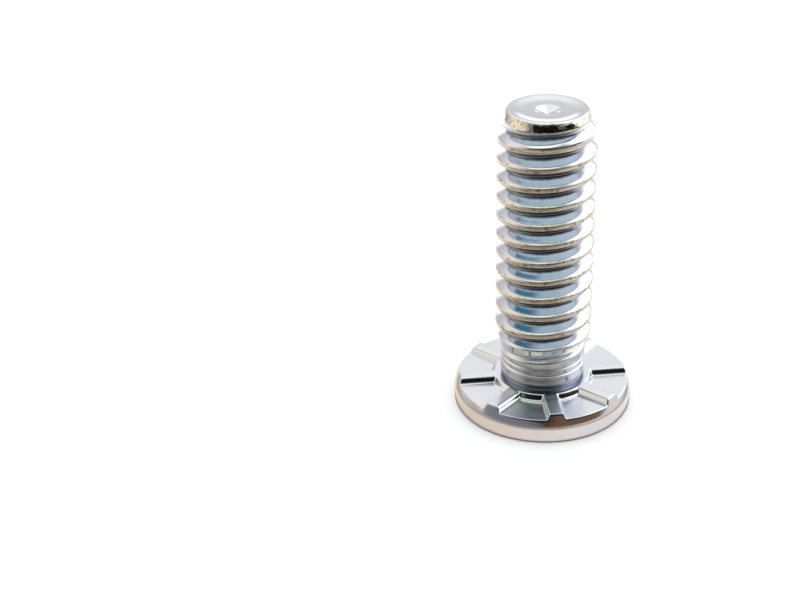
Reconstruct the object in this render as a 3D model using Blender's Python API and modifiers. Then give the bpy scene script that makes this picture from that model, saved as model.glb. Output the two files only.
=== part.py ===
"""Self-clinching stud with a 1/4-20 thread, standing on its head with the thread up.

The stud is one piece of steel. A turned blank holds the head, the collar, the undercut, the ringed neck
and the shank. Eight ribs stand on the head's clinching side, where a ring of pockets is cut between them.
The thread is a right-hand groove, cut into the shank by a helical cutter that leaves it at both ends.

The origin is at the centre of the head's flat outer face, and +Z points along the shank to its tip.
"""

from math import atan2, cos, hypot, pi, radians, sin, tan

import bmesh
import bpy
from mathutils import Matrix

MM = 0.001

# Driving dimensions, in metres.
OVERALL_HEIGHT = 20.62 * MM
THREAD_DIAMETER = 6.25 * MM
THREAD_PITCH = 1.27 * MM
THREAD_DEPTH = 0.735 * MM
THREAD_FLANK = radians(30)
CREST_HALF_FLAT = 0.1 * MM
CREST_ROUNDING = 0.085 * MM
TOP_CREST_DROP = 1.9 * MM  # from the tip down to the highest full crest, on the stud's -X side

HEAD_DIAMETER = 11.7 * MM
HEAD_HEIGHT = 2.06 * MM
HEAD_SIDE_HEIGHT = 0.98 * MM
HEAD_EDGE_RADIUS = 0.25 * MM
HEAD_TAPER = radians(21)

RIB_COUNT = 8
RIB_ANGLE = radians(280.3)  # from +X, counter-clockwise seen from the tip
RIB_TOP_WIDTH = 0.86 * MM
POCKET_DEPTH = 0.38 * MM
POCKET_DRAFT = radians(33)
EDGE_BREAK = 0.07 * MM

COLLAR_TOP_RADIUS = 3.18 * MM
UNDERCUT_RADIUS = 2.5 * MM
UNDERCUT_HEIGHT = 0.38 * MM
NECK_RADIUS = 2.77 * MM
NECK_RING_DEPTH = 0.08 * MM
NECK_RING_HALF_WIDTH = 0.10 * MM

# Heights on the neck, above the head's clinching side.
NECK_RING_HEIGHTS = (1.46 * MM, 1.11 * MM)
NECK_TOP = 2.09 * MM
FULL_THREAD_START = 3.69 * MM

TIP_RIM_RADIUS = 2.3 * MM
TIP_SHOULDER_RADIUS = 2.8 * MM
TIP_SHOULDER_DROP = 0.5 * MM
TIP_TAPER_LENGTH = 1.95 * MM
DISH_RADIUS = 1.9 * MM
DISH_DEPTH = 0.2 * MM
DIMPLE_RADIUS = 0.82 * MM
DIMPLE_DEPTH = 0.3 * MM

# The groove leaves the metal by moving out over these lengths: above the clinching side, and below the tip.
RUNOUT_BOTTOM = (1.87 * MM, 2.69 * MM)
RUNOUT_TOP = 0.72 * MM
RUNOUT_SHIFT = 0.55 * MM

SEGMENTS = 32
MERGE = 0.00001
CLEARANCE = 0.3 * MM  # how far a cutter stands out past the face that it cuts


def clear_scene():
    for old in list(bpy.data.objects):
        bpy.data.objects.remove(old, do_unlink=True)


def new_collection(name):
    collection = bpy.data.collections.new(name)
    bpy.context.scene.collection.children.link(collection)
    return collection


def zinc_plated_steel():
    """Carbon steel with bright zinc plating: a clean pale metal with a faint blue cast."""
    material = bpy.data.materials.new("bright_zinc_plated_steel")
    material.use_nodes = True
    shader = material.node_tree.nodes["Principled BSDF"]
    shader.inputs["Base Color"].default_value = (0.63, 0.66, 0.70, 1)
    shader.inputs["Metallic"].default_value = 1
    shader.inputs["Roughness"].default_value = 0.24
    material.diffuse_color = (0.63, 0.66, 0.70, 1)
    return material


def profile_object(name, points, collection, closed):
    """An edge-only object in the XZ plane, from (radius, height) points."""
    vertices = [(radius, 0, height) for radius, height in points]
    edges = [(i, i + 1) for i in range(len(points) - 1)]
    if closed:
        edges.append((len(points) - 1, 0))
    mesh = bpy.data.meshes.new(name)
    mesh.from_pydata(vertices, edges, [])
    made = bpy.data.objects.new(name, mesh)
    collection.objects.link(made)
    return made


def add_screw(made, height=0.0, turns=1, merge=True):
    screw = made.modifiers.new("turn", "SCREW")
    screw.axis = "Z"
    screw.angle = 2 * pi
    screw.screw_offset = height
    screw.iterations = turns
    screw.steps = SEGMENTS
    screw.render_steps = SEGMENTS
    screw.use_merge_vertices = merge
    screw.merge_threshold = MERGE
    screw.use_smooth_shade = False


def add_cut(made, name, cutter):
    cut = made.modifiers.new(name, "BOOLEAN")
    cut.operation = "DIFFERENCE"
    cut.solver = "EXACT"
    cut.object = cutter


def as_helper(made):
    """A cutter: drawn as wire and left out of the render."""
    made.hide_render = True
    made.display_type = "WIRE"


def fix_mesh(made):
    """The object's modifiers turned into mesh, with any open end filled and its faces facing out."""
    graph = bpy.context.evaluated_depsgraph_get()
    mesh = bpy.data.meshes.new_from_object(made.evaluated_get(graph))
    made.modifiers.clear()
    made.data = mesh
    shape = bmesh.new()
    shape.from_mesh(mesh)
    rim = [edge for edge in shape.edges if len(edge.link_faces) == 1]
    if rim:
        bmesh.ops.holes_fill(shape, edges=rim, sides=0)
    bmesh.ops.recalc_face_normals(shape, faces=shape.faces)
    shape.to_mesh(mesh)
    shape.free()


def arc(centre, radius, start, end, steps):
    """(radius, height) points on an arc in the profile plane, from one angle to another."""
    angles = [start + (end - start) * i / steps for i in range(steps + 1)]
    return [(centre[0] + radius * cos(a), centre[1] + radius * sin(a)) for a in angles]


def ring_groove(height):
    """The three profile points of one shallow ring groove in the neck, from its top down."""
    return [
        (NECK_RADIUS, height + NECK_RING_HALF_WIDTH),
        (NECK_RADIUS - NECK_RING_DEPTH, height),
        (NECK_RADIUS - 0.2 * NECK_RING_DEPTH, height - NECK_RING_HALF_WIDTH),
    ]


def blank_profile():
    """(radius, height) points of the turned blank, from the dimple in its tip down to its flat face."""
    top = OVERALL_HEIGHT
    major = THREAD_DIAMETER / 2
    points = [
        (0, top - DISH_DEPTH - DIMPLE_DEPTH),
        (0.25 * DIMPLE_RADIUS, top - DISH_DEPTH - 0.9 * DIMPLE_DEPTH),
        (DIMPLE_RADIUS, top - DISH_DEPTH),
        (DISH_RADIUS, top - 0.95 * DISH_DEPTH),
        ((DISH_RADIUS + TIP_RIM_RADIUS) / 2, top - 0.4 * DISH_DEPTH),
    ]
    # The rim falls over a chamfered shoulder, and the point widens from there to the full thread diameter.
    shoulder = TIP_SHOULDER_RADIUS - TIP_RIM_RADIUS
    for share in (0, 0.25, 0.6, 1):
        points.append((TIP_RIM_RADIUS + shoulder * share, top - TIP_SHOULDER_DROP * share**1.35))
    for share in (1 / 3, 2 / 3, 1):
        radius = TIP_SHOULDER_RADIUS + (major - TIP_SHOULDER_RADIUS) * sin(share * pi / 2)
        points.append((radius, top - TIP_SHOULDER_DROP - share * TIP_TAPER_LENGTH))
    # Below the full thread the crests fall away to the neck.
    full = HEAD_HEIGHT + FULL_THREAD_START
    for share in (0, 0.35, 0.65, 1):
        fall = 0.5 - 0.5 * cos(pi * share)
        radius = major + (NECK_RADIUS - major) * fall
        points.append((radius, full + (NECK_TOP - FULL_THREAD_START) * share))
    for height in NECK_RING_HEIGHTS:
        points.extend(ring_groove(HEAD_HEIGHT + height))
    # The neck ends in a lip over the undercut, and the undercut opens to the collar.
    lip = HEAD_HEIGHT + UNDERCUT_HEIGHT
    points.append((NECK_RADIUS, lip + 0.16 * MM))
    points.append((NECK_RADIUS - 0.06 * MM, lip + 0.05 * MM))
    points.append((UNDERCUT_RADIUS, lip))
    points.append((UNDERCUT_RADIUS, HEAD_HEIGHT + 0.08 * MM))
    points.append((UNDERCUT_RADIUS + 0.08 * MM, HEAD_HEIGHT))
    # The head's side: a taper from the rib tops, a blend, an upright side and a rounded edge.
    side = HEAD_DIAMETER / 2
    blend = 0.9 * MM
    joint = (side - blend + blend * cos(HEAD_TAPER), HEAD_SIDE_HEIGHT + blend * sin(HEAD_TAPER))
    rib_end = joint[0] - (HEAD_HEIGHT - joint[1]) * tan(HEAD_TAPER)
    points.append((rib_end - EDGE_BREAK, HEAD_HEIGHT))
    points.append((rib_end + EDGE_BREAK * tan(HEAD_TAPER), HEAD_HEIGHT - EDGE_BREAK))
    points.extend(arc((side - blend, HEAD_SIDE_HEIGHT), blend, HEAD_TAPER, 0, 2))
    corner = (side - HEAD_EDGE_RADIUS, HEAD_EDGE_RADIUS)
    points.extend(arc(corner, HEAD_EDGE_RADIUS, 0, -pi / 2, 3))
    points.append((0, 0))
    return points


def pocket_cutter(collection):
    """The ring cut into the clinching side, with the eight ribs left out of it."""
    floor = HEAD_HEIGHT - POCKET_DEPTH
    high = HEAD_HEIGHT + CLEARANCE
    wide = HEAD_DIAMETER / 2 + CLEARANCE
    low = floor - CLEARANCE
    tall = high + CLEARANCE
    # (run, height) of a pocket's wall, with its top edge broken. A positive run is towards the pocket.
    slope = tan(POCKET_DRAFT)
    foot = (slope * (HEAD_HEIGHT - floor), floor)
    edge = (slope * EDGE_BREAK, HEAD_HEIGHT - EDGE_BREAK)
    lip = (edge[0] - EDGE_BREAK, HEAD_HEIGHT)
    ring = profile_object(
        "pocket_ring",
        [
            (wide, high),
            (wide, floor),
            (COLLAR_TOP_RADIUS + foot[0], foot[1]),
            (COLLAR_TOP_RADIUS + edge[0], edge[1]),
            (COLLAR_TOP_RADIUS + lip[0], lip[1]),
            (COLLAR_TOP_RADIUS + lip[0] - slope * CLEARANCE, high),
        ],
        collection,
        closed=True,
    )
    add_screw(ring)
    half = RIB_TOP_WIDTH / 2
    right = [
        (half + slope * (HEAD_HEIGHT - low), low),
        (half + edge[0], edge[1]),
        (half + lip[0], lip[1]),
        (half + lip[0] - slope * (tall - HEAD_HEIGHT), tall),
    ]
    section = right + [(-aside, height) for aside, height in reversed(right)]
    near = UNDERCUT_RADIUS
    far = wide + CLEARANCE
    shape = bmesh.new()
    for i in range(RIB_COUNT):
        corners = [shape.verts.new((near, aside, height)) for aside, height in section]
        end = shape.faces.new(corners)
        made = bmesh.ops.extrude_face_region(shape, geom=[end], use_keep_orig=True)["geom"]
        moved = [item for item in made if isinstance(item, bmesh.types.BMVert)]
        bmesh.ops.translate(shape, vec=(far - near, 0, 0), verts=moved)
        turn = Matrix.Rotation(RIB_ANGLE + 2 * pi * i / RIB_COUNT, 4, "Z")
        bmesh.ops.transform(shape, matrix=turn, verts=corners + moved)
    bmesh.ops.recalc_face_normals(shape, faces=shape.faces)
    mesh = bpy.data.meshes.new("rib_bars")
    shape.to_mesh(mesh)
    shape.free()
    bars = bpy.data.objects.new("rib_bars", mesh)
    collection.objects.link(bars)
    add_cut(ring, "ribs", bars)
    as_helper(bars)
    as_helper(ring)
    return ring


def smooth(value, low, high):
    """0 at low, 1 at high and a soft step between them."""
    share = min(1.0, max(0.0, (value - low) / (high - low)))
    return share * share * (3 - 2 * share)


def thread_cutter(collection):
    """The helical groove: one section screwed up the shank, then moved out of the metal at both ends."""
    major = THREAD_DIAMETER / 2
    root = major - THREAD_DEPTH
    slope = tan(THREAD_FLANK)
    mouth = THREAD_PITCH / 2 - CREST_HALF_FLAT
    shoulder = mouth - 0.6 * CREST_ROUNDING
    shoulder_radius = major - CREST_ROUNDING
    root_half = shoulder - (shoulder_radius - root) * slope
    half = [
        (major + CLEARANCE, mouth),
        (major, mouth),
        (shoulder_radius, shoulder),
        (root, root_half),
    ]
    out_low, out_high = [HEAD_HEIGHT + height for height in RUNOUT_BOTTOM]
    crest = OVERALL_HEIGHT - TOP_CREST_DROP
    low_turn = int((crest - out_low) / THREAD_PITCH) + 1
    start = crest - low_turn * THREAD_PITCH
    turns = int((OVERALL_HEIGHT - start) / THREAD_PITCH) + 1
    section = [(r, start + h) for r, h in half] + [(r, start - h) for r, h in reversed(half)]
    groove = profile_object("thread_groove", section, collection, closed=True)
    add_screw(groove, THREAD_PITCH, turns, merge=False)
    fix_mesh(groove)
    # Half a segment along the helix, so that none of its edges lies on an edge of the blank.
    groove.data.transform(Matrix.Rotation(pi / SEGMENTS, 4, "Z"))
    groove.data.transform(Matrix.Translation((0, 0, THREAD_PITCH / SEGMENTS / 2)))
    for vertex in groove.data.vertices:
        share = (atan2(vertex.co.y, vertex.co.x) / (2 * pi)) % 1
        turn = round((vertex.co.z - start) / THREAD_PITCH - share)
        middle = start + (turn + share) * THREAD_PITCH
        out = 1 - smooth(middle, out_low, out_high)
        out += smooth(middle, OVERALL_HEIGHT - RUNOUT_TOP, OVERALL_HEIGHT)
        reach = hypot(vertex.co.x, vertex.co.y)
        scale = (reach + RUNOUT_SHIFT * out) / reach
        vertex.co.x *= scale
        vertex.co.y *= scale
    as_helper(groove)
    return groove


clear_scene()
parts = new_collection("self_clinching_stud")
cutters = new_collection("cutters")
cutters.hide_render = True

stud = profile_object("clinch_stud", blank_profile(), parts, closed=False)
stud.data.materials.append(zinc_plated_steel())
add_screw(stud)
add_cut(stud, "thread", thread_cutter(cutters))
add_cut(stud, "pockets", pocket_cutter(cutters))
fix_mesh(stud)
stud.data.shade_smooth()
stud.data.set_sharp_from_angle(angle=radians(25))
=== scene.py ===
"""The looks of a self-clinching stud: the cold-headed, rolled and zinc-plated surface over its solid.

The stud stands on its head on a plain pale floor, thread up, and the camera has the photograph's viewing
angle. Lengths are in metres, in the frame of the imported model: +Z runs from the head to the tip.
"""

from math import cos, pi, radians, sin, tan

import bpy
from mathutils import Matrix, Vector


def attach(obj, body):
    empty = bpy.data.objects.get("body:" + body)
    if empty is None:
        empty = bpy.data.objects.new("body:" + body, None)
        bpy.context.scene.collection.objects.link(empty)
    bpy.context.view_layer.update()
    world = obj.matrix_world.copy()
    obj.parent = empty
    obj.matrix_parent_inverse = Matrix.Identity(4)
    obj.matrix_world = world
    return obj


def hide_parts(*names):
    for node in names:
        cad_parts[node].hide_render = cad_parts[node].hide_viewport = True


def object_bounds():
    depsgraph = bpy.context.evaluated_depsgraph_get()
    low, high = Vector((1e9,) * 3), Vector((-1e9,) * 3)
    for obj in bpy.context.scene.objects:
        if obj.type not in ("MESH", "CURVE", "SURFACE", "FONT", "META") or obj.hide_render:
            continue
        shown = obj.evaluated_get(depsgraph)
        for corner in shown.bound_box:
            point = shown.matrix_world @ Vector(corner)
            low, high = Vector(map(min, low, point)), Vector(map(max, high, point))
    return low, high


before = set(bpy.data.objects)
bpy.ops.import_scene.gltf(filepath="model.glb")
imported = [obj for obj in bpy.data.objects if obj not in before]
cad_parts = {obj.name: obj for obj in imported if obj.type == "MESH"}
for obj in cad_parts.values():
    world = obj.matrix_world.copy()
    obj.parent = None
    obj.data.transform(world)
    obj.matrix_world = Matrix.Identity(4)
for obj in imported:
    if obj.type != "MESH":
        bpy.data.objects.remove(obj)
cad_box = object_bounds()

# The stud is one piece of carbon steel: a cold-headed blank with a flat head, a collar, an undercut and a
# ringed neck, whose shank is rolled into a thread. Eight ribs stand between pockets pressed into the head.
# Here its outline is one column of points, turned round the axis, threaded and pressed in that order.

MM = 0.001
FULL_TURN = 2 * pi
HEAD_RADIUS = cad_box[1].x
TIP_HEIGHT = cad_box[1].z

HEAD_HEIGHT = 2.06 * MM
HEAD_SIDE_HEIGHT = 0.98 * MM
HEAD_EDGE_RADIUS = 0.25 * MM
HEAD_SIDE_BLEND = 0.9 * MM
HEAD_TAPER = radians(21)
HEAD_RIM_ROUNDING = 0.09 * MM
POCKET_FLOOR = 1.68 * MM

COLLAR_RADIUS = 3.18 * MM
UNDERCUT_RADIUS = 2.58 * MM
UNDERCUT_FILLET = 0.06 * MM
LIP_HEIGHT = 2.44 * MM
LIP_ROUNDING = 0.1 * MM
LIP_BULGE = 0.035 * MM
NECK_RADIUS = 2.77 * MM
NECK_RING_DEPTH = 0.08 * MM
NECK_RING_HALF_WIDTH = 0.13 * MM
NECK_RING_HEIGHTS = (3.17 * MM, 3.62 * MM)
NECK_TOP = 4.15 * MM

THREAD_RADIUS = 3.125 * MM
THREAD_PITCH = 1.27 * MM
FULL_THREAD_START = 5.75 * MM
GROOVE_HEIGHT = TIP_HEIGHT - 1.935 * MM  # of the middle of the highest full groove, on the +X side

TIP_TAPER_LENGTH = 1.95 * MM
TIP_SHOULDER_RADIUS = 2.8 * MM
TIP_SHOULDER_DROP = 0.55 * MM
TIP_SHOULDER_FULLNESS = 1.2  # 1 would be a straight cone
TIP_RIM_RADIUS = 2.59 * MM
TIP_RIM_ROUNDING = 0.03 * MM
TIP_BEVEL_DROP = 0.09 * MM
TIP_BEVEL_RADIUS = 2.42 * MM
DISH_RADIUS = 1.5 * MM
DISH_DEPTH = 0.11 * MM
DISH_FALL = 0.9  # the share of its depth that the dish reaches at its radius
DIMPLE_RADIUS = 0.82 * MM
DIMPLE_DEPTH = 0.3 * MM
DIMPLE_LIP = 0.015 * MM

RIB_COUNT = 8
RIB_ANGLE = radians(280.3)

COLUMNS_PER_RIB = 24
ROWS_PER_TURN = 24
THREAD_TURNS = 13


def arc(centre, radius, start, end, steps):
    """(radius, height) points on an arc, from one angle to another."""
    angles = [start + (end - start) * i / steps for i in range(steps + 1)]
    return [(centre[0] + radius * cos(a), centre[1] + radius * sin(a)) for a in angles]


def line(start, end, steps):
    """(radius, height) points on a straight line, with its start and without its end."""
    shares = [i / steps for i in range(steps)]
    return [tuple(a + (b - a) * share for a, b in zip(start, end)) for share in shares]


def head_outline():
    """From the middle of the flat face, round the rim and over the clinching side to the undercut."""
    upright = (HEAD_RADIUS, HEAD_SIDE_HEIGHT)
    corner = (HEAD_RADIUS - HEAD_EDGE_RADIUS, HEAD_EDGE_RADIUS)
    points = line((0, 0), (corner[0], 0), 8)
    points += arc(corner, HEAD_EDGE_RADIUS, -pi / 2, 0, 7)[:-1]
    points += line((HEAD_RADIUS, HEAD_EDGE_RADIUS), upright, 5)
    side = arc((HEAD_RADIUS - HEAD_SIDE_BLEND, HEAD_SIDE_HEIGHT), HEAD_SIDE_BLEND, 0, HEAD_TAPER, 7)
    points += side[:-1]
    # The taper has rows close together where the pocket floors run out through it.
    joint = side[-1]
    rib_end = joint[0] - (HEAD_HEIGHT - joint[1]) * tan(HEAD_TAPER)
    near = 0.11 * MM
    heights = (joint[1], POCKET_FLOOR - near, POCKET_FLOOR, POCKET_FLOOR + near, HEAD_HEIGHT - near)
    stops = [(joint[0] - (height - joint[1]) * tan(HEAD_TAPER), height) for height in heights]
    for start, end, steps in zip(stops, stops[1:], (3, 5, 5, 3)):
        points += line(start, end, steps)
    turn = (pi / 2 - HEAD_TAPER) / 2
    rounding = (rib_end - HEAD_RIM_ROUNDING * tan(turn), HEAD_HEIGHT - HEAD_RIM_ROUNDING)
    points += arc(rounding, HEAD_RIM_ROUNDING, HEAD_TAPER, pi / 2, 6)[:-1]
    # Then the top, with rows close together down the wall of the collar.
    collar_foot = COLLAR_RADIUS + 0.42 * MM
    collar_edge = COLLAR_RADIUS - 0.12 * MM
    points += line((rounding[0], HEAD_HEIGHT), (collar_foot, HEAD_HEIGHT), 14)
    points += line((collar_foot, HEAD_HEIGHT), (collar_edge, HEAD_HEIGHT), 18)
    points += line((collar_edge, HEAD_HEIGHT), (UNDERCUT_RADIUS + UNDERCUT_FILLET, HEAD_HEIGHT), 5)
    return points


def neck_outline(top):
    """From the undercut's foot, over the lip and the two ring grooves, to the foot of the thread."""
    fillet = UNDERCUT_RADIUS + UNDERCUT_FILLET
    points = arc((fillet, HEAD_HEIGHT + UNDERCUT_FILLET), UNDERCUT_FILLET, -pi / 2, -pi, 4)
    roof = arc((fillet, LIP_HEIGHT - UNDERCUT_FILLET), UNDERCUT_FILLET, pi, pi / 2, 4)
    points += line(points.pop(), roof[0], 3) + roof
    points += arc((NECK_RADIUS - LIP_ROUNDING, LIP_HEIGHT + LIP_ROUNDING), LIP_ROUNDING, -pi / 2, 0, 6)
    low = points[-1][1]
    steps = 40
    for i in range(1, steps):
        height = low + (top - low) * i / steps
        depth = 0.0
        for ring in NECK_RING_HEIGHTS:
            off = (height - ring) / NECK_RING_HALF_WIDTH
            depth += NECK_RING_DEPTH * max(0.0, 1 - off * off)
        across = min(1.0, (height - low) / (NECK_RING_HEIGHTS[0] - low) * 2 - 1)
        depth += LIP_BULGE * across * across
        points.append((NECK_RADIUS - depth, height))
    return points


def shank_radius(height):
    """The blank under the thread: the crests fall away to the neck below, and to the rim at the tip."""
    if height < FULL_THREAD_START:
        share = max(0.0, (height - NECK_TOP) / (FULL_THREAD_START - NECK_TOP))
        return NECK_RADIUS + (THREAD_RADIUS - NECK_RADIUS) * (0.5 - 0.5 * cos(pi * share))
    below = TIP_HEIGHT - TIP_SHOULDER_DROP - height
    if below > 0:
        share = min(1.0, below / TIP_TAPER_LENGTH)
        return TIP_SHOULDER_RADIUS + (THREAD_RADIUS - TIP_SHOULDER_RADIUS) * sin(share * pi / 2)
    share = (TIP_HEIGHT - TIP_BEVEL_DROP - height) / (TIP_SHOULDER_DROP - TIP_BEVEL_DROP)
    share = share ** (1 / TIP_SHOULDER_FULLNESS)
    return TIP_RIM_RADIUS + (TIP_SHOULDER_RADIUS - TIP_RIM_RADIUS) * share


def tip_outline(low):
    """From the end of the thread over the rim, and across the dish to the middle of its dimple."""
    points = []
    rim = TIP_HEIGHT - TIP_BEVEL_DROP
    steps = 9
    for i in range(1, steps + 1):
        height = low + (rim - low) * sin(pi / 2 * i / steps)
        points.append((shank_radius(min(height, rim)), height))
    rounding = (TIP_RIM_RADIUS - TIP_RIM_ROUNDING, rim)
    points += arc(rounding, TIP_RIM_ROUNDING, radians(20), radians(70), 3)
    top = points[-1]
    steps = 6
    for i in range(1, steps):
        share = i / steps
        rise = (TIP_HEIGHT - top[1]) * (1 - (1 - share) ** 2)
        points.append((top[0] + (TIP_BEVEL_RADIUS - top[0]) * share, top[1] + rise))
    steps = 8
    for i in range(steps + 1):
        share = i / steps
        fall = share * share * (3 - 2 * share)
        radius = TIP_BEVEL_RADIUS + (DISH_RADIUS - TIP_BEVEL_RADIUS) * share
        points.append((radius, TIP_HEIGHT - DISH_FALL * DISH_DEPTH * fall))
    dish = TIP_HEIGHT - DISH_DEPTH
    lip = (DIMPLE_RADIUS + DIMPLE_LIP, dish)
    points += line(points.pop(), lip, 5) + [lip]
    wall = (DIMPLE_RADIUS - DIMPLE_LIP, dish - DIMPLE_LIP * DIMPLE_DEPTH / DIMPLE_RADIUS)
    bottom = (0, dish - DIMPLE_DEPTH)
    points += line(wall, bottom, 9) + [bottom]
    return points


# The thread's rows start at the lowest groove that is clear of the neck's rings where the outline closes.
columns = RIB_COUNT * COLUMNS_PER_RIB
seam_angle = RIB_ANGLE - pi
row_step = THREAD_PITCH / ROWS_PER_TURN
seam_groove = GROOVE_HEIGHT + THREAD_PITCH * seam_angle / FULL_TURN
turns_down = int((seam_groove - NECK_RING_HEIGHTS[1] - NECK_RING_HALF_WIDTH) / THREAD_PITCH)
thread_low = seam_groove - turns_down * THREAD_PITCH
thread_rows = THREAD_TURNS * ROWS_PER_TURN

outline = head_outline() + neck_outline(thread_low)
low_row = len(outline)
for i in range(thread_rows + 1):
    height = thread_low + i * row_step
    outline.append((shank_radius(height), height))
outline += tip_outline(outline[-1][1])

mesh = bpy.data.meshes.new("stud")
mesh.from_pydata(
    [(radius, 0, height) for radius, height in outline],
    [(i, i + 1) for i in range(len(outline) - 1)],
    [],
)
stud = bpy.data.objects.new("stud", mesh)
bpy.context.scene.collection.objects.link(stud)


def add(tree, kind, *inputs, named=None, **settings):
    """Adds one node with its settings, and links or sets its inputs, by their order or by their names."""
    node = tree.nodes.new(kind)
    for name, value in settings.items():
        setattr(node, name, value)
    for key, value in [*enumerate(inputs), *(named or {}).items()]:
        if isinstance(value, bpy.types.Node):
            value = next(output for output in value.outputs if not output.is_unavailable)
        if isinstance(value, bpy.types.NodeSocket):
            tree.links.new(value, node.inputs[key])
        else:
            node.inputs[key].default_value = value
    return node


def shape_with(piece, name, build, material, sizes):
    """Gives the piece a Geometry Nodes step of this name, with one named input for each of its sizes."""
    tree = bpy.data.node_groups.new(name, "GeometryNodeTree")
    tree.interface.new_socket("Geometry", in_out="OUTPUT", socket_type="NodeSocketGeometry")
    tree.interface.new_socket("Geometry", in_out="INPUT", socket_type="NodeSocketGeometry")
    step = piece.modifiers.new(name, "NODES")
    values = {"Material": material, **sizes}
    kinds = {bpy.types.Material: "NodeSocketMaterial", int: "NodeSocketInt", float: "NodeSocketFloat"}
    sockets = {
        label: tree.interface.new_socket(label, in_out="INPUT", socket_type=kinds[type(value)])
        for label, value in values.items()
    }
    start = tree.nodes.new("NodeGroupInput")
    shaped = build(tree, start.outputs)
    realized = add(tree, "GeometryNodeRealizeInstances", shaped)
    material_in = start.outputs["Material"]
    dressed = add(tree, "GeometryNodeSetMaterial", named={"Geometry": realized, "Material": material_in})
    end = tree.nodes.new("NodeGroupOutput")
    tree.links.new(dressed.outputs[0], end.inputs[0])
    step.node_group = tree
    for label, value in values.items():
        step[sockets[label].identifier] = value


SAME_POINT = 1e-7


def turn_blank(tree, given):
    """The outline turned round the axis. Rows of the thread climb one pitch in a turn, as its crest does."""
    rows = add(tree, "ShaderNodeMath", given["Rows"], given["Rows per Turn"], operation="ADD")
    across = add(tree, "ShaderNodeMath", given["Columns"], 1, operation="ADD")
    grid = add(tree, "GeometryNodeMeshGrid", named={"Vertices X": across, "Vertices Y": rows})
    index = add(tree, "GeometryNodeInputIndex")
    column = add(tree, "ShaderNodeMath", index, rows, operation="DIVIDE")
    column = add(tree, "ShaderNodeMath", column, operation="FLOOR")
    row = add(tree, "ShaderNodeMath", index, rows, operation="MODULO")
    share = add(tree, "ShaderNodeMath", column, given["Columns"], operation="DIVIDE")

    # Rows stand close together on crests and roots, and further apart on the flanks.
    above = add(tree, "ShaderNodeMath", row, given["Thread Low Row"], operation="SUBTRACT")
    turn = add(tree, "ShaderNodeMath", above, given["Rows per Turn"], operation="DIVIDE")
    once = add(tree, "ShaderNodeMath", turn, FULL_TURN, operation="MULTIPLY")
    once = add(tree, "ShaderNodeMath", once, operation="SINE")
    once = add(tree, "ShaderNodeMath", once, given["Crest Crowding"], operation="MULTIPLY")
    twice = add(tree, "ShaderNodeMath", turn, 2 * FULL_TURN, operation="MULTIPLY")
    twice = add(tree, "ShaderNodeMath", twice, operation="SINE")
    twice = add(tree, "ShaderNodeMath", twice, given["Row Crowding"], operation="MULTIPLY")
    twice = add(tree, "ShaderNodeMath", twice, 2, operation="DIVIDE")
    wave = add(tree, "ShaderNodeMath", twice, once, operation="SUBTRACT")
    crowd = add(tree, "ShaderNodeMath", given["Rows per Turn"], FULL_TURN, operation="DIVIDE")
    wave = add(tree, "ShaderNodeMath", wave, crowd, operation="MULTIPLY")
    lift = add(tree, "ShaderNodeMath", share, 1, operation="SUBTRACT")
    lift = add(tree, "ShaderNodeMath", lift, given["Rows per Turn"], operation="MULTIPLY")
    lifted = add(tree, "ShaderNodeMath", row, lift, operation="ADD")
    lifted = add(tree, "ShaderNodeMath", lifted, wave, operation="SUBTRACT")
    held = add(tree, "ShaderNodeClamp", lifted, given["Thread Low Row"], given["Thread High Row"])

    # Rows below and above the thread stay level.
    under = add(tree, "ShaderNodeMath", above, 0, operation="MINIMUM")
    high = add(tree, "ShaderNodeMath", given["Thread High Row"], given["Rows per Turn"], operation="ADD")
    over = add(tree, "ShaderNodeMath", row, high, operation="SUBTRACT")
    over = add(tree, "ShaderNodeMath", over, 0, operation="MAXIMUM")
    level = add(tree, "ShaderNodeMath", under, over, operation="ADD")
    place = add(tree, "ShaderNodeMath", held, level, operation="ADD")

    first = add(tree, "ShaderNodeMath", place, operation="FLOOR")
    second = add(tree, "ShaderNodeMath", first, 1, operation="ADD")
    part = add(tree, "ShaderNodeMath", place, first, operation="SUBTRACT")
    position = add(tree, "GeometryNodeInputPosition")
    found = [
        add(tree, "GeometryNodeSampleIndex", data_type="FLOAT_VECTOR", clamp=True,
            named={"Geometry": given["Geometry"], "Value": position, "Index": at})
        for at in (first, second)
    ]
    point = add(tree, "ShaderNodeMix", data_type="VECTOR", named={0: part, 4: found[0], 5: found[1]})
    angle = add(tree, "ShaderNodeMath", share, FULL_TURN, operation="MULTIPLY")
    angle = add(tree, "ShaderNodeMath", angle, given["Seam Angle"], operation="ADD")
    turned = add(tree, "ShaderNodeVectorRotate", rotation_type="Z_AXIS",
                 named={"Vector": point, "Angle": angle})
    placed = add(tree, "GeometryNodeSetPosition", named={"Geometry": grid, "Position": turned})
    closed = add(tree, "GeometryNodeMergeByDistance", named={"Geometry": placed, "Distance": SAME_POINT})
    return add(tree, "GeometryNodeSetShadeSmooth", named={"Geometry": closed})


def linear(code, strength=1.0):
    """An sRGB hex code as a linear colour, of this strength where it is a light's."""
    shares = [int(code[i:i + 2], 16) / 255 for i in (0, 2, 4)]
    curved = [c / 12.92 if c <= 0.04045 else ((c + 0.055) / 1.055) ** 2.4 for c in shares]
    return (*[c * strength for c in curved], 1)


def inside(tree, *spans):
    """How far inside all of these spans a point is, from 0 to 1. A span is a value, its start and its end."""
    parts = [add(tree, "ShaderNodeMapRange", *span) for span in spans]
    share = parts[0]
    for part in parts[1:]:
        share = add(tree, "ShaderNodeMath", share, part, operation="MULTIPLY")
    return share
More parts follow.
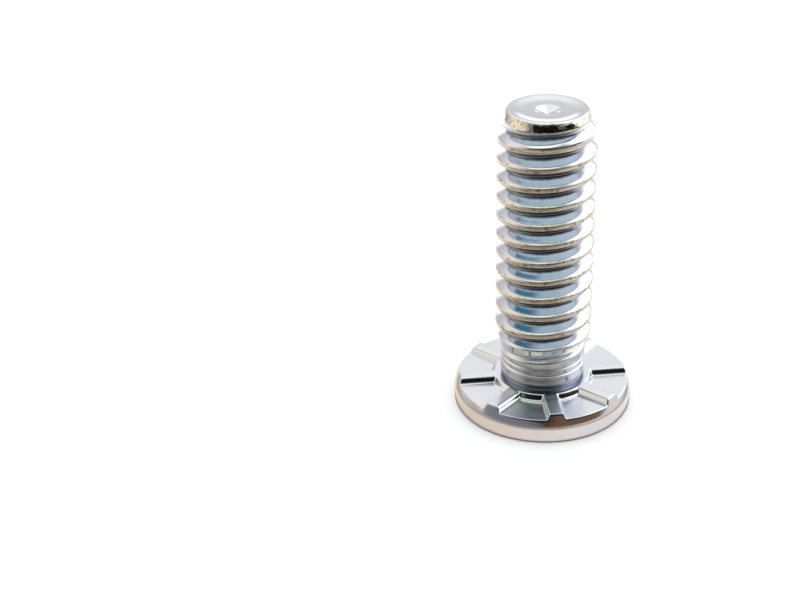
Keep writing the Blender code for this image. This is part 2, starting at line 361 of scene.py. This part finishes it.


# The finish is bright zinc under a thin blue passivate, plated and dipped after rolling: a clean pale metal
# with a faint blue cast. Its film is yellower and flecked on the crests and round the tip. The roots and the
# undercut are darkened with painted shade, and the zinc shines less on the lower crests, pressed head and
# turned neck.

# Zinc's own grain is a few micrometres wide, so grain, mottle and flecks are as coarse as they need to show.
MOTTLE_SIZE = 0.45 * MM
GRAIN_SIZE = 0.09 * MM
FLECK_SIZE = 0.3 * MM
MOTTLE_DEPTH = 0.004 * MM
GRAIN_DEPTH = 0.002 * MM
LUMP_DEPTH = 0.035 * MM

# Each zone of the finish, and each zone of painted shade, has a distance from the axis, or a height, where it
# starts and one where it is full.
ZONE_WANDER = 0.07 * MM
CREST_REACH = (3.0 * MM, 3.07 * MM)
CREST_FOOT = (4.0 * MM, 4.3 * MM)
CREST_DULLING = (17.5 * MM, 14.5 * MM)
ROOT_REACH = (2.6 * MM, 2.47 * MM)
ROOT_FOOT = (4.6 * MM, 5.0 * MM)
ROOT_TOP = (TIP_HEIGHT - 0.8 * MM, TIP_HEIGHT - 0.9 * MM)
RIM_REACH = (TIP_RIM_RADIUS - 0.1 * MM, TIP_RIM_RADIUS - 0.03 * MM)
RIM_FOOT = (TIP_HEIGHT - 0.6 * MM, TIP_HEIGHT - 0.45 * MM)
LUMP_REACH = (TIP_BEVEL_RADIUS, TIP_BEVEL_RADIUS + 0.1 * MM)
LUMP_FOOT = (TIP_HEIGHT - 1.0 * MM, TIP_HEIGHT - 0.6 * MM)
UNDERCUT_REACH = (2.8 * MM, 2.68 * MM)
UNDERCUT_FOOT = (0, HEAD_HEIGHT / 2)
UNDERCUT_TOP = (LIP_HEIGHT + 0.06 * MM, LIP_HEIGHT)
LIP_FOOT = (LIP_HEIGHT, LIP_HEIGHT + 0.06 * MM)
LIP_TOP = (3.15 * MM, 2.9 * MM)
NECK_FOOT = (HEAD_HEIGHT + 0.02 * MM, HEAD_HEIGHT + 0.1 * MM)
NECK_END = (5.0 * MM, 4.6 * MM)
HEAD_TOP = (HEAD_HEIGHT + 0.1 * MM, HEAD_HEIGHT)
FACING_UP = (0.6, 0.9)

plating = bpy.data.materials.new("bright_zinc_plating")
plating.use_nodes = True
tree = plating.node_tree
shader = tree.nodes["Principled BSDF"]
shader.inputs["Metallic"].default_value = 1
coordinates = add(tree, "ShaderNodeTexCoord").outputs
point = coordinates["Object"]
facing = add(tree, "ShaderNodeSeparateXYZ", coordinates["Normal"]).outputs[2]
x, y, z = add(tree, "ShaderNodeSeparateXYZ", point).outputs
flat = add(tree, "ShaderNodeCombineXYZ", x, y, 0)
reach = add(tree, "ShaderNodeVectorMath", flat, operation="LENGTH").outputs["Value"]
mottle, grain, fleck = [
    add(tree, "ShaderNodeTexNoise", named={"Vector": point, "Scale": 1 / size, "Detail": detail})
    for size, detail in ((MOTTLE_SIZE, 3), (GRAIN_SIZE, 2), (FLECK_SIZE, 2))
]

wander = add(tree, "ShaderNodeMapRange", mottle, 0, 1, -ZONE_WANDER, ZONE_WANDER)
edge = add(tree, "ShaderNodeMath", reach, wander, operation="ADD")
crest = inside(tree, (edge, *CREST_REACH), (z, *CREST_FOOT))
rim = inside(tree, (reach, *RIM_REACH), (z, *RIM_FOOT))
crest = add(tree, "ShaderNodeMath", crest, rim, operation="MAXIMUM")
# Painted shade: the thread's roots are darkened where shade falls under the crests.
root = inside(tree, (edge, *ROOT_REACH), (z, *ROOT_FOOT), (z, *ROOT_TOP))
# Painted shade: the undercut under the neck's lip is darkened as a shaded recess.
undercut = inside(tree, (edge, *UNDERCUT_REACH), (z, *UNDERCUT_TOP), (z, *UNDERCUT_FOOT))
worn = add(tree, "ShaderNodeMapRange", grain, 0.25, 0.75)
flecked = add(tree, "ShaderNodeMapRange", fleck, 0.44, 0.3)

film = linear("b5b0a7")
tint = linear("bfc5cd")
for colour, amount in ((linear("dad6cc"), worn), (linear("958b7e"), flecked)):
    film = add(tree, "ShaderNodeMix", data_type="RGBA", named={0: amount, 6: film, 7: colour})
for colour, amount in (
    (linear("cacbd0"), mottle),
    # The roots' dark grey-blue is painted shade.
    (linear("6f7981"), root),
    # The undercut's blue-grey is painted shade.
    (linear("9097a6"), undercut),
    (film, crest),
):
    tint = add(tree, "ShaderNodeMix", data_type="RGBA", named={0: amount, 6: tint, 7: colour})
tree.links.new(tint.outputs[2], shader.inputs["Base Color"])

# The roughness is that of bright zinc, and each zone adds its own to it.
BRIGHT = (0.08, 0.15)
roughness = add(tree, "ShaderNodeMapRange", grain, 0.3, 0.7, *BRIGHT)
for added, spans in (
    (0.16, [(z, *CREST_DULLING), (crest, 0, 1)]),
    (0.08, [(z, *HEAD_TOP), (facing, *FACING_UP)]),
    (0.13, [(z, *NECK_END), (z, *NECK_FOOT)]),
    (0.08, [(z, *LIP_TOP), (z, *LIP_FOOT)]),
):
    zone = add(tree, "ShaderNodeMath", inside(tree, *spans), added, operation="MULTIPLY")
    roughness = add(tree, "ShaderNodeMath", roughness, zone, operation="ADD")
tree.links.new(roughness.outputs[0], shader.inputs["Roughness"])

lumps = inside(tree, (z, *LUMP_FOOT), (reach, *LUMP_REACH))
lumps = add(tree, "ShaderNodeMath", lumps, LUMP_DEPTH, operation="MULTIPLY")
lumps = add(tree, "ShaderNodeMath", lumps, MOTTLE_DEPTH, operation="ADD")
waves = add(tree, "ShaderNodeBump", named={"Height": mottle, "Distance": lumps, "Strength": 1.0})
bump = add(tree, "ShaderNodeBump", named={
    "Height": grain, "Distance": GRAIN_DEPTH, "Strength": 1.0, "Normal": waves,
})
tree.links.new(bump.outputs[0], shader.inputs["Normal"])

shape_with(stud, "turn_blank", turn_blank, plating, {
    "Rows": len(outline),
    "Columns": columns,
    "Rows per Turn": ROWS_PER_TURN,
    "Thread Low Row": low_row,
    "Thread High Row": low_row + thread_rows,
    "Row Crowding": 0.4,
    "Crest Crowding": 0.25,
    "Seam Angle": seam_angle,
})


def roll_thread(tree, given):
    """The helical groove pressed into the shank: a flat root, straight flanks and rounded crests."""
    position = add(tree, "GeometryNodeInputPosition")
    x, y, z = add(tree, "ShaderNodeSeparateXYZ", position).outputs
    angle = add(tree, "ShaderNodeMath", y, x, operation="ARCTAN2")
    share = add(tree, "ShaderNodeMath", angle, FULL_TURN, operation="DIVIDE")
    above = add(tree, "ShaderNodeMath", z, given["Groove Height"], operation="SUBTRACT")
    turns = add(tree, "ShaderNodeMath", above, given["Pitch"], operation="DIVIDE")
    turns = add(tree, "ShaderNodeMath", turns, share, operation="SUBTRACT")
    nearest = add(tree, "ShaderNodeMath", turns, operation="ROUND")
    off = add(tree, "ShaderNodeMath", turns, nearest, operation="SUBTRACT")
    off = add(tree, "ShaderNodeMath", off, operation="ABSOLUTE")
    aside = add(tree, "ShaderNodeMath", off, given["Pitch"], operation="MULTIPLY")

    rise = add(tree, "ShaderNodeMath", aside, given["Root Half Width"], operation="SUBTRACT")
    rise = add(tree, "ShaderNodeMath", rise, given["Flank Slope"], operation="DIVIDE")
    wall = add(tree, "ShaderNodeMath", rise, 0, given["Root Rounding"], operation="SMOOTH_MAX")
    groove = add(tree, "ShaderNodeMath", wall, given["Root Radius"], operation="ADD")

    # The groove leaves the metal at both ends of the thread, by the height of its middle.
    middle = add(tree, "ShaderNodeMath", nearest, share, operation="ADD")
    middle = add(tree, "ShaderNodeMath", middle, given["Pitch"], operation="MULTIPLY")
    middle = add(tree, "ShaderNodeMath", middle, given["Groove Height"], operation="ADD")
    leaving_low, leaving_high = [
        add(tree, "ShaderNodeMapRange", middle, *ends, *shares, interpolation_type="SMOOTHSTEP")
        for ends, shares in (
            ((given["Bottom Out"], given["Bottom In"]), (1, 0)),
            ((given["Top In"], given["Top Out"]), (0, 1)),
        )
    ]
    leaving = add(tree, "ShaderNodeMath", leaving_low, leaving_high, operation="ADD")
    shift = add(tree, "ShaderNodeMath", leaving, given["Shift Out"], operation="MULTIPLY")
    groove = add(tree, "ShaderNodeMath", groove, shift, operation="ADD")

    flat = add(tree, "ShaderNodeCombineXYZ", x, y, 0)
    reach = add(tree, "ShaderNodeVectorMath", flat, operation="LENGTH").outputs["Value"]
    pressed = add(tree, "ShaderNodeMath", reach, groove, given["Crest Rounding"], operation="SMOOTH_MIN")
    scale = add(tree, "ShaderNodeMath", pressed, reach, operation="DIVIDE")
    shrunk = add(tree, "ShaderNodeVectorMath", flat, named={"Scale": scale}, operation="SCALE")
    upward = add(tree, "ShaderNodeCombineXYZ", 0, 0, z)
    placed = add(tree, "ShaderNodeVectorMath", shrunk, upward, operation="ADD")
    rolled = add(tree, "FunctionNodeCompare", z, given["Lowest"], operation="GREATER_THAN", data_type="FLOAT")
    return add(tree, "GeometryNodeSetPosition", named={
        "Geometry": given["Geometry"], "Selection": rolled, "Position": placed,
    })


THREAD_DEPTH = 0.735 * MM
RUNOUT_BOTTOM = (3.62 * MM, 4.6 * MM)
RUNOUT_TOP = (TIP_HEIGHT - 0.72 * MM, TIP_HEIGHT)
shape_with(stud, "roll_thread", roll_thread, plating, {
    "Pitch": THREAD_PITCH,
    "Groove Height": GROOVE_HEIGHT,
    "Root Radius": THREAD_RADIUS - THREAD_DEPTH,
    "Root Half Width": 0.07 * MM,
    "Flank Slope": tan(radians(30)),
    "Root Rounding": 0.32 * MM,
    "Crest Rounding": 0.18 * MM,
    "Shift Out": 0.55 * MM,
    "Bottom Out": RUNOUT_BOTTOM[0],
    "Bottom In": RUNOUT_BOTTOM[1],
    "Top In": RUNOUT_TOP[0],
    "Top Out": RUNOUT_TOP[1],
    "Lowest": LIP_HEIGHT,
})


def press_pockets(tree, given):
    """The pockets pressed between the ribs, once the columns have moved close together along the walls."""
    position = add(tree, "GeometryNodeInputPosition")
    x, y, z = add(tree, "ShaderNodeSeparateXYZ", position).outputs
    flat = add(tree, "ShaderNodeCombineXYZ", x, y, 0)
    reach = add(tree, "ShaderNodeVectorMath", flat, operation="LENGTH").outputs["Value"]
    angle = add(tree, "ShaderNodeMath", y, x, operation="ARCTAN2")
    step = add(tree, "ShaderNodeMath", FULL_TURN, given["Ribs"], operation="DIVIDE")
    half_step = add(tree, "ShaderNodeMath", step, 2, operation="DIVIDE")
    steps = add(tree, "ShaderNodeMath", angle, given["Rib Angle"], operation="SUBTRACT")
    steps = add(tree, "ShaderNodeMath", steps, step, operation="DIVIDE")
    nearest = add(tree, "ShaderNodeMath", steps, operation="ROUND")
    off = add(tree, "ShaderNodeMath", steps, nearest, operation="SUBTRACT")
    side = add(tree, "ShaderNodeMath", off, operation="SIGN")
    share = add(tree, "ShaderNodeMath", off, operation="ABSOLUTE")
    share = add(tree, "ShaderNodeMath", share, 2, operation="MULTIPLY")
    was = add(tree, "ShaderNodeMath", share, half_step, operation="MULTIPLY")

    # A few columns run along a rib's top, most run along its wall, and the rest fan out over the pocket.
    on_top = add(tree, "ShaderNodeMapRange", share, 0, given["Top Share"], 0, given["Wall Start"])
    wall_width = add(tree, "ShaderNodeMath", given["Wall End"], given["Wall Start"], operation="SUBTRACT")
    on_wall = add(tree, "ShaderNodeMapRange", share, given["Top Share"], given["Wall Share"], 0, wall_width)
    aside = add(tree, "ShaderNodeMath", on_top, on_wall, operation="ADD")
    rib_part = add(tree, "ShaderNodeMath", aside, reach, operation="DIVIDE")
    rib_part = add(tree, "ShaderNodeMath", rib_part, operation="ARCSINE")
    rib_edge = add(tree, "ShaderNodeMath", given["Wall End"], reach, operation="DIVIDE")
    rib_edge = add(tree, "ShaderNodeMath", rib_edge, operation="ARCSINE")
    room = add(tree, "ShaderNodeMath", half_step, rib_edge, operation="SUBTRACT")
    fan = add(tree, "ShaderNodeMapRange", share, given["Wall Share"], 1, 0, room)
    wanted = add(tree, "ShaderNodeMath", rib_part, fan, operation="ADD")
    outside = add(tree, "ShaderNodeMapRange", reach, given["Collar Radius"], given["Collar Foot"])
    over_side = add(tree, "ShaderNodeMapRange", z, given["Slide Low"], given["Slide High"])
    on_head = add(tree, "FunctionNodeCompare", z, given["Highest"], operation="LESS_THAN", data_type="FLOAT")
    weight = add(tree, "ShaderNodeMath", outside, over_side, operation="MULTIPLY")
    weight = add(tree, "ShaderNodeMath", weight, on_head, operation="MULTIPLY")
    moved = add(tree, "ShaderNodeMath", wanted, was, operation="SUBTRACT")
    moved = add(tree, "ShaderNodeMath", moved, weight, operation="MULTIPLY")
    now = add(tree, "ShaderNodeMath", was, moved, operation="ADD")
    slide = add(tree, "ShaderNodeMath", moved, side, operation="MULTIPLY")
    slid = add(tree, "ShaderNodeVectorRotate", rotation_type="Z_AXIS",
               named={"Vector": position, "Angle": slide})

    # Height above the pocket's floor of the rib's drafted wall and of the collar's.
    depth = add(tree, "ShaderNodeMath", given["Head Height"], given["Floor Height"], operation="SUBTRACT")
    from_axis = add(tree, "ShaderNodeMath", now, operation="SINE")
    from_axis = add(tree, "ShaderNodeMath", from_axis, reach, operation="MULTIPLY")
    rib = add(tree, "ShaderNodeMath", given["Rib Half Width"], from_axis, operation="SUBTRACT")
    rib = add(tree, "ShaderNodeMath", rib, given["Wall Slope"], operation="DIVIDE")
    collar = add(tree, "ShaderNodeMath", given["Collar Radius"], reach, operation="SUBTRACT")
    collar = add(tree, "ShaderNodeMath", collar, given["Wall Slope"], operation="DIVIDE")
    wall = add(tree, "ShaderNodeMath", rib, collar, given["Foot Rounding"], operation="SMOOTH_MAX")
    wall = add(tree, "ShaderNodeMath", wall, depth, operation="ADD")
    wall = add(tree, "ShaderNodeMath", wall, 0, given["Foot Rounding"], operation="SMOOTH_MAX")
    pocket = add(tree, "ShaderNodeMath", wall, given["Floor Height"], operation="ADD")
    pressed = add(tree, "ShaderNodeMath", z, pocket, given["Edge Rounding"], operation="SMOOTH_MIN")
    parts = add(tree, "ShaderNodeSeparateXYZ", slid).outputs
    placed = add(tree, "ShaderNodeCombineXYZ", parts[0], parts[1], pressed)
    return add(tree, "GeometryNodeSetPosition", named={
        "Geometry": given["Geometry"], "Selection": on_head, "Position": placed,
    })


RIB_HALF_WIDTH = 0.43 * MM
WALL_SLOPE = tan(radians(24))
WALL_MARGIN = 0.08 * MM
wall_run = (HEAD_HEIGHT - POCKET_FLOOR) * WALL_SLOPE
shape_with(stud, "press_pockets", press_pockets, plating, {
    "Ribs": RIB_COUNT,
    "Rib Angle": RIB_ANGLE,
    "Rib Half Width": RIB_HALF_WIDTH,
    "Wall Slope": WALL_SLOPE,
    "Head Height": HEAD_HEIGHT,
    "Floor Height": POCKET_FLOOR,
    "Collar Radius": COLLAR_RADIUS,
    "Collar Foot": COLLAR_RADIUS + wall_run,
    "Top Share": 2 / 12,
    "Wall Share": 9 / 12,
    "Wall Start": RIB_HALF_WIDTH - WALL_MARGIN,
    "Wall End": RIB_HALF_WIDTH + wall_run + WALL_MARGIN,
    "Slide Low": HEAD_SIDE_HEIGHT,
    "Slide High": POCKET_FLOOR - 0.1 * MM,
    "Highest": HEAD_HEIGHT + 0.01 * MM,
    "Foot Rounding": 0.17 * MM,
    "Edge Rounding": 0.15 * MM,
})

bpy.context.view_layer.update()
finished = bpy.data.meshes.new_from_object(stud.evaluated_get(bpy.context.evaluated_depsgraph_get()))
stud.modifiers.clear()
stud.data = finished
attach(stud, "root")
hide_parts("clinch_stud")

# The floor is a plain sheet of white card to the camera. Bright metal mirrors more of the studio than the
# camera sees, so to mirrored rays the card glows with a painted reflection instead: beige round the head with
# painted shade at its foot, tan in front, dark past the card, pale at the sides and behind. Mirrored twice on
# its way it is pale blue, and mirrored three times it is painted dark in front, as shade.

FLOOR_REACH = 0.5
floor_mesh = bpy.data.meshes.new("floor")
floor_mesh.from_pydata(
    [(x * FLOOR_REACH, y * FLOOR_REACH, 0) for x, y in ((-1, -1), (1, -1), (1, 1), (-1, 1))],
    [],
    [(0, 1, 2, 3)],
)
floor = bpy.data.objects.new("floor", floor_mesh)
bpy.context.scene.collection.objects.link(floor)

white = bpy.data.materials.new("white_card")
white.use_nodes = True
tree = white.node_tree
shader = tree.nodes["Principled BSDF"]
shader.inputs["Base Color"].default_value = linear("f6f6f6")
shader.inputs["Roughness"].default_value = 0.6
shader.inputs["Specular IOR Level"].default_value = 0
point = add(tree, "ShaderNodeTexCoord").outputs["Object"]
x, y, z = add(tree, "ShaderNodeSeparateXYZ", point).outputs
flat = add(tree, "ShaderNodeCombineXYZ", x, y, 0)
far = add(tree, "ShaderNodeVectorMath", flat, operation="LENGTH").outputs["Value"]
bearing = add(tree, "ShaderNodeMath", x, far, operation="DIVIDE")  # -1 is left and 1 is right
aside = add(tree, "ShaderNodeMath", x, operation="ABSOLUTE")
behind = (y, -2 * MM, 6 * MM)
beyond = (y, -88 * MM, -97 * MM)
# Painted shade: the beige that the mirrored card shows round the head, tan on the left and paler on the
# right.
round_head = add(tree, "ShaderNodeMix", data_type="RGBA", named={
    0: inside(tree, (bearing, -0.9, 0.5)), 6: linear("dccbb2"), 7: linear("e6ddd6"),
})

# The thread's flanks mirror the floor by way of each other, and to these twice-mirrored rays the floor glows
# a painted pale blue reflection. It is deepest blue on the left in front, inside a line that slants across
# the card.
SLANT = -0.43
SLANT_START = 25.2 * MM
slant = add(tree, "ShaderNodeMath", x, SLANT, operation="MULTIPLY")
slant = add(tree, "ShaderNodeMath", slant, SLANT_START, operation="SUBTRACT")
from_slant = add(tree, "ShaderNodeMath", y, slant, operation="SUBTRACT")
blue_patch = [
    (from_slant, -3 * MM, 2 * MM),
    (x, -2 * MM, -11 * MM),
    (x, -65 * MM, -40 * MM),
    (y, 2 * MM, -3 * MM),
]

once = linear("9a877a")
for part, colour, *spans in (
    ("right", linear("d8d0cc"), (bearing, 0.3, 1.0)),
    ("left", linear("b4aa9e"), (bearing, -0.7, -1.0)),
    ("behind", linear("dfd9d2"), behind),
    ("far behind", linear("ffffff"), (y, 40 * MM, 60 * MM)),
    ("past the card", linear("15110c"), (y, -47 * MM, -54 * MM), (aside, 60 * MM, 40 * MM)),
    ("beyond that", linear("b8a898"), beyond),
    # Painted shade: near the head, round it and at its foot the mirrored card is darker and warmer, as the
    # head's shade on it.
    ("near the head", linear("a5a196"), (far, 13 * MM, 9.5 * MM)),
    ("round the head", round_head, (far, 8.8 * MM, 8 * MM)),
    ("at its foot", linear("7a6259"), (far, 6.3 * MM, 5.9 * MM)),
):
    amount = inside(tree, *spans)
    once = add(tree, "ShaderNodeMix", data_type="RGBA", named={0: amount, 6: once, 7: colour}, label=part)
twice = linear("d2e4ea")
for part, colour, *spans in (
    ("far", linear("e2f2f2"), (far, 21 * MM, 28 * MM)),
    ("blue patch", linear("4b89a8"), *blue_patch),
    ("right", linear("f4fcff"), (bearing, 0.6, 0.95)),
    ("behind", linear("e0dedd"), behind),
    ("past the card", linear("6b7493"), (y, -48 * MM, -80 * MM)),
    ("beyond that", linear("b4b4c4"), beyond),
):
    amount = inside(tree, *spans)
    twice = add(tree, "ShaderNodeMix", data_type="RGBA", named={0: amount, 6: twice, 7: colour}, label=part)

# The first ray to leave the metal has a depth of 1, the next of 2 and the one after it of 3.
rays = add(tree, "ShaderNodeLightPath").outputs
second = add(tree, "ShaderNodeMath", rays["Ray Depth"], 1.5, operation="GREATER_THAN")
third = add(tree, "ShaderNodeMath", rays["Ray Depth"], 2.5, operation="GREATER_THAN")
# Painted shade: rays mirrored three times find the card in front painted dark.
in_front = inside(tree, (y, -10 * MM, -25 * MM))
dark = add(tree, "ShaderNodeMath", third, in_front, operation="MULTIPLY")
seen = add(tree, "ShaderNodeMix", data_type="RGBA", named={0: second, 6: once, 7: twice})
seen = add(tree, "ShaderNodeMix", data_type="RGBA", named={0: dark, 6: seen, 7: linear("2a211c")})
# The card glows these painted reflections only to mirrored rays; to the camera and to diffuse light it stays
# white card.
LIT_CARD = 1.6
glow = add(tree, "ShaderNodeEmission", seen, LIT_CARD)
both = add(tree, "ShaderNodeMixShader", rays["Is Glossy Ray"], shader, glow)
tree.links.new(both.outputs[0], tree.nodes["Material Output"].inputs["Surface"])
floor.data.materials.append(white)

# The studio is a white tent. The metal mirrors a large soft box on the right, a cream wall on the left and
# bright panels behind and above. In front is the dark opening that the camera looks in through, with a pale
# shade over it, a dark gap to its right, a grey skirt below it on the left and a brown one on the right.

world = bpy.data.worlds.new("studio")
world.use_nodes = True
tree = world.node_tree
sky = tree.nodes["Background"]
toward = add(tree, "ShaderNodeTexCoord").outputs["Generated"]
height = add(tree, "ShaderNodeSeparateXYZ", toward).outputs[2]
rising = inside(tree, (height, 0.0, 0.6))
seen = add(tree, "ShaderNodeMix", data_type="RGBA", named={
    0: rising, 6: linear("fff8ee", 0.72), 7: linear("fcf8ff", 1.04),
})
# azimuth from the front, counted to the right; elevation; how far round it is full and where it ends, as a
# share of the tent's radius; how many times wider than high; colour; strength
CARDS = (
    ("back_top", 180, 62, 0.4, 0.8, 1, "fffdf8", 1.5),
    ("left_wall", -82, 30, 0.42, 0.8, 1, "fff2de", 1.45),
    ("right_soft_box", 112, 36, 0.6, 0.85, 1.2, "ffffff", 2.3),
    ("front_shade", -8, 46, 0.5, 1.15, 1.2, "bdc3bd", 1.0),
    ("overhead", -60, 80, 0.25, 0.5, 1, "fcffe2", 1.8),
    ("back_low", 180, 5, 0.35, 0.6, 3, "ffffff", 1.5),
    ("right_gap", 54, 13, 0.4, 0.6, 2.2, "0a0806", 1.0),
    ("opening", -3, 22, 0.52, 0.93, 2.3, "060608", 1.0),
    ("left_skirt", -31, 0, 0.72, 0.84, 3.6, "93919a", 1.0),
    ("right_skirt", 40, 0, 0.8, 0.88, 4.6, "876548", 1.0),
)
for name, azimuth, elevation, full, none, wide, code, strength in CARDS:
    a, e = radians(azimuth), radians(elevation)
    middle = (sin(a) * cos(e), -cos(a) * cos(e), sin(e))
    off = add(tree, "ShaderNodeVectorMath", toward, middle, operation="SUBTRACT", label=name)
    off = add(tree, "ShaderNodeVectorMath", off, (1, 1, wide), operation="MULTIPLY")
    off = add(tree, "ShaderNodeVectorMath", off, operation="LENGTH").outputs["Value"]
    amount = add(tree, "ShaderNodeMapRange", off, none, full, interpolation_type="SMOOTHSTEP")
    light = linear(code, strength)
    seen = add(tree, "ShaderNodeMix", data_type="RGBA", named={0: amount, 6: seen, 7: light})
glossy = add(tree, "ShaderNodeLightPath").outputs["Is Glossy Ray"]
plain_white = linear("ffffff", 1.3)
seen = add(tree, "ShaderNodeMix", data_type="RGBA", named={0: glossy, 6: plain_white, 7: seen})
tree.links.new(seen.outputs[2], sky.inputs["Color"])
sky.inputs["Strength"].default_value = 1.0
bpy.context.scene.world = world

# The camera looks down on the stud as in the photograph. Its place and its focal length were fitted to the
# thread's crests. It is pointed at the axis, then turned aside and down, and rolled level with the picture.

CAMERA_ELEVATION = radians(27.11)
CAMERA_TARGET = Vector((0, 0, 9.57 * MM))
CAMERA_DISTANCE = 95 * MM
CAMERA_YAW = radians(-5.59)
CAMERA_PITCH = radians(-1.3)
CAMERA_ROLL = radians(1.11)
FOCAL_PIXELS = 1467
PHOTO_WIDTH = 800
SENSOR = 36

back = Vector((0, -cos(CAMERA_ELEVATION), sin(CAMERA_ELEVATION)))
ahead = -back
right = Vector((1, 0, 0))
up = right.cross(ahead)
yawed = ahead * cos(CAMERA_YAW) + right * sin(CAMERA_YAW)
right = right * cos(CAMERA_YAW) - ahead * sin(CAMERA_YAW)
pitched = yawed * cos(CAMERA_PITCH) + up * sin(CAMERA_PITCH)
up = up * cos(CAMERA_PITCH) - yawed * sin(CAMERA_PITCH)
rolled_right = right * cos(CAMERA_ROLL) + up * sin(CAMERA_ROLL)
rolled_up = up * cos(CAMERA_ROLL) - right * sin(CAMERA_ROLL)

camera = bpy.data.objects.new("camera", bpy.data.cameras.new("camera"))
camera.data.sensor_width = SENSOR
camera.data.lens = FOCAL_PIXELS * SENSOR / PHOTO_WIDTH
camera.data.clip_start = 1 * MM
camera.matrix_world = Matrix((rolled_right, rolled_up, -pitched)).transposed().to_4x4()
camera.location = CAMERA_TARGET + back * CAMERA_DISTANCE
bpy.context.scene.collection.objects.link(camera)
bpy.context.scene.camera = camera
bpy.context.scene.view_settings.view_transform = "Standard"
